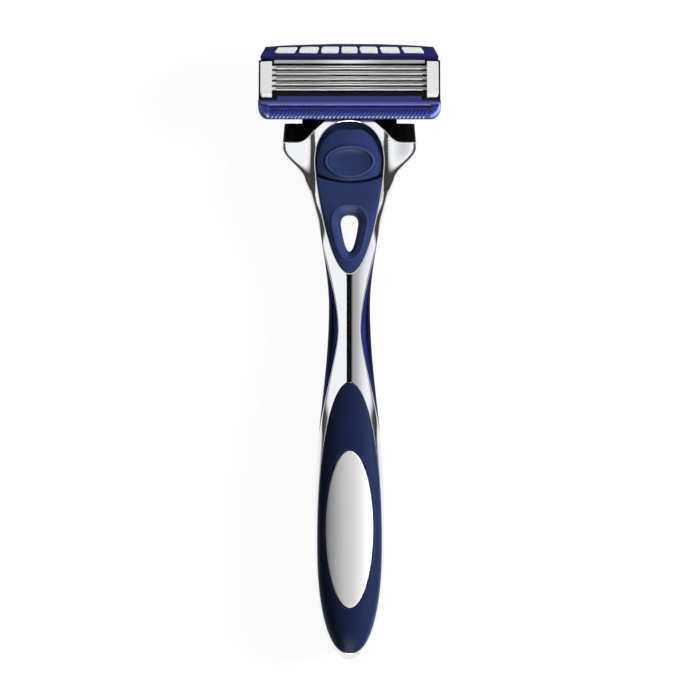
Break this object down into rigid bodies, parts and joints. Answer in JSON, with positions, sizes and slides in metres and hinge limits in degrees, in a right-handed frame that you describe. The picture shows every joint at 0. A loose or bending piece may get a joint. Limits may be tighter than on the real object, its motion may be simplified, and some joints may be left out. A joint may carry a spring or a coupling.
{
  "type": "cartridge razor",
  "caption": "Slim cartridge razor with a waisted metal-fronted handle, dished release button, sprung pivoting blade head and a flip-back gel reservoir.",
  "frame": {"origin": "bottom centre of the box of the razor lying on its back", "axes": "+Y from the tail to the head, +Z out of the shaving side, +X to the right seen from the front"},
  "size_m": [0.042, 0.1419, 0.0162],
  "materials": {
    "plated_front": "polished chrome plating",
    "grip_elastomer": "smooth satin elastomer",
    "thumb_elastomer": "satin moulded plastic",
    "satin_plate": "satin, bare",
    "black_plastic": "moulded black plastic",
    "spring_steel": "drawn wire",
    "blue_plastic": "moulded blue plastic",
    "fin_elastomer": "translucent soft elastomer",
    "blade_steel": "polished stainless steel",
    "clip_metal": "matt, finely mottled",
    "gel": "waxy translucent gel"
  },
  "bodies": {
    "handle": {"handle_shell": "plated_front", "rear_grip": "grip_elastomer", "front_grip": "grip_elastomer", "badge_plate": "satin_plate", "thumb_rest": "thumb_elastomer", "head_carrier": "black_plastic", "button_spring": "spring_steel", "plunger_spring": "spring_steel"},
    "button": {"release_button": "thumb_elastomer"},
    "plunger": {"plunger": "black_plastic"},
    "connector": {"interconnect": "black_plastic"},
    "cartridge": {"cartridge_frame": "black_plastic", "guard_frame": "blue_plastic", "guard_fins": "fin_elastomer", "cap_bar": "blade_steel", "clip_left": "clip_metal", "clip_right": "clip_metal", "blade_1": "blade_steel", "blade_2": "blade_steel", "blade_3": "blade_steel", "blade_4": "blade_steel", "blade_5": "blade_steel", "blade_support_1": "blade_steel", "blade_support_2": "blade_steel", "blade_support_3": "blade_steel", "blade_support_4": "blade_steel", "blade_support_5": "blade_steel"},
    "reservoir": {"reservoir_tray": "blue_plastic", "gel_strip": "gel"}
  },
  "joints": [
    {"name": "cartridge_eject", "type": "slide", "parent": "handle", "child": "connector", "axis": [0, 1, 0], "range_m": [0, 0.02]},
    {"name": "head_pivot", "type": "hinge", "parent": "connector", "child": "cartridge", "pos_m": [0, 0.05708, 0.0108], "axis": [-1, 0, 0], "range_deg": [0, 40], "stiffness_Nm_per_rad": 0.012, "springref_deg": -8.59},
    {"name": "reservoir_flip", "type": "hinge", "parent": "cartridge", "child": "reservoir", "pos_m": [0, 0.06681, 0.00805], "axis": [-1, 0, 0], "range_deg": [0, 50]},
    {"name": "button_slide", "type": "slide", "parent": "handle", "child": "button", "axis": [0, 1, 0], "range_m": [0, 0.0014], "stiffness_N_per_m": 1000, "springref_m": -0.001, "deforming": ["button_spring"]},
    {"name": "plunger_slide", "type": "slide", "parent": "handle", "child": "plunger", "axis": [0, 1, 0], "range_m": [-0.0024, 0], "deforming": ["plunger_spring"]}
  ],
  "couplings": [
    {"joint": "plunger_slide", "follows": "head_pivot", "m_per_rad": -0.0034}
  ]
}
